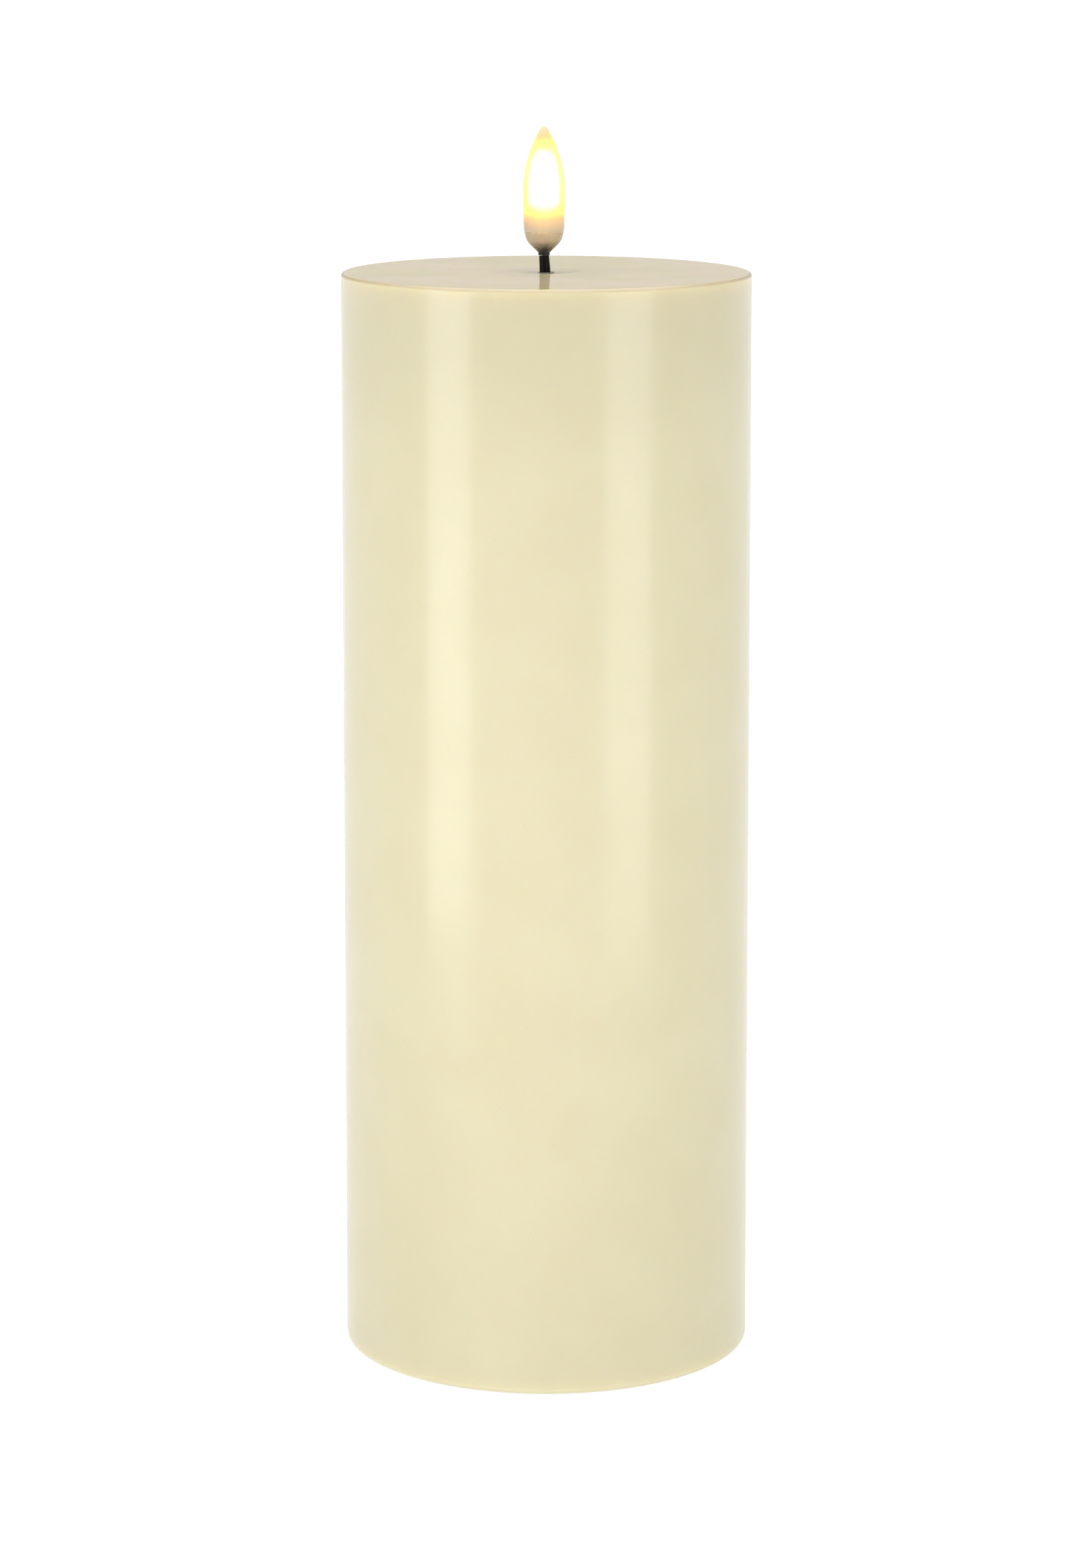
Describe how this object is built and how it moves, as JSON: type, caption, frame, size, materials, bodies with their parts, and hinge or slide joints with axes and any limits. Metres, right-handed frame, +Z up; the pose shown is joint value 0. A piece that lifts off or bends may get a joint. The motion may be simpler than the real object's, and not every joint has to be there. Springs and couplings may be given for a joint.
{
  "type": "flameless pillar candle",
  "caption": "Straight ivory wax pillar with a smooth flat top, a black wick and a glowing flame-shaped bulb, on a hidden battery base.",
  "frame": {"origin": "middle of the round foot, on the plane the candle stands on", "axes": "+Z up along the wax pillar; -Y towards the viewer, with the slide switch on the -Y side of the underside; the battery door is hinged at its +X end and its latch is at the -X end"},
  "size_m": [0.075, 0.075, 0.2271],
  "materials": {
    "wax": "satin",
    "ivory_plastic": "satin",
    "black_plastic": "satin",
    "flame_plastic": "satin",
    "lamp_epoxy": "gloss",
    "lead_wire": "satin",
    "cell_jacket": "satin",
    "contact_nickel": "satin",
    "switch_steel": "satin",
    "board_green": "satin",
    "chip_black": "matte",
    "crystal_can": "polished",
    "capacitor_sleeve": "gloss",
    "resistor_body": "satin",
    "screw_zinc": "satin",
    "wire_red": "satin",
    "wire_black": "satin"
  },
  "bodies": {
    "candle": {"wax_shell": "wax", "wick_bush": "ivory_plastic", "wick_sleeve": "black_plastic", "lamp_holder": "black_plastic", "flame_cup": "flame_plastic", "flame_lens": "flame_plastic", "led_lamp": "lamp_epoxy", "led_leads": "lead_wire", "base_housing": "ivory_plastic", "aa_cell_back": "cell_jacket", "aa_cell_front": "cell_jacket", "positive_terminal": "contact_nickel", "negative_terminal": "contact_nickel", "jumper_plate": "contact_nickel", "negative_spring": "contact_nickel", "jumper_spring": "contact_nickel", "switch_frame": "switch_steel", "switch_base": "black_plastic", "switch_pins": "contact_nickel", "control_board": "board_green", "board_screws": "screw_zinc", "timer_chip": "chip_black", "timer_chip_legs": "lead_wire", "crystal": "crystal_can", "capacitor": "capacitor_sleeve", "chip_resistors": "resistor_body", "battery_wire_red": "wire_red", "battery_wire_black": "wire_black", "lamp_wire_red": "wire_red", "lamp_wire_black": "wire_black"},
    "battery_door": {"battery_door": "ivory_plastic"},
    "door_latch": {"door_latch": "ivory_plastic"},
    "switch_slider": {"switch_knob": "black_plastic", "switch_wiper": "contact_nickel"}
  },
  "joints": [
    {"name": "door_hinge", "type": "hinge", "parent": "candle", "child": "battery_door", "pos_m": [0.0273, 0, 0.001], "axis": [0, -1, 0], "range_deg": [0, 60]},
    {"name": "latch_flex", "type": "hinge", "parent": "battery_door", "child": "door_latch", "pos_m": [-0.0302, 0, 0.0096], "axis": [0, -1, 0], "range_deg": [0, 6], "stiffness_Nm_per_rad": 0.1},
    {"name": "switch_slide", "type": "slide", "parent": "candle", "child": "switch_slider", "axis": [1, 0, 0], "range_m": [0, 0.004]}
  ]
}
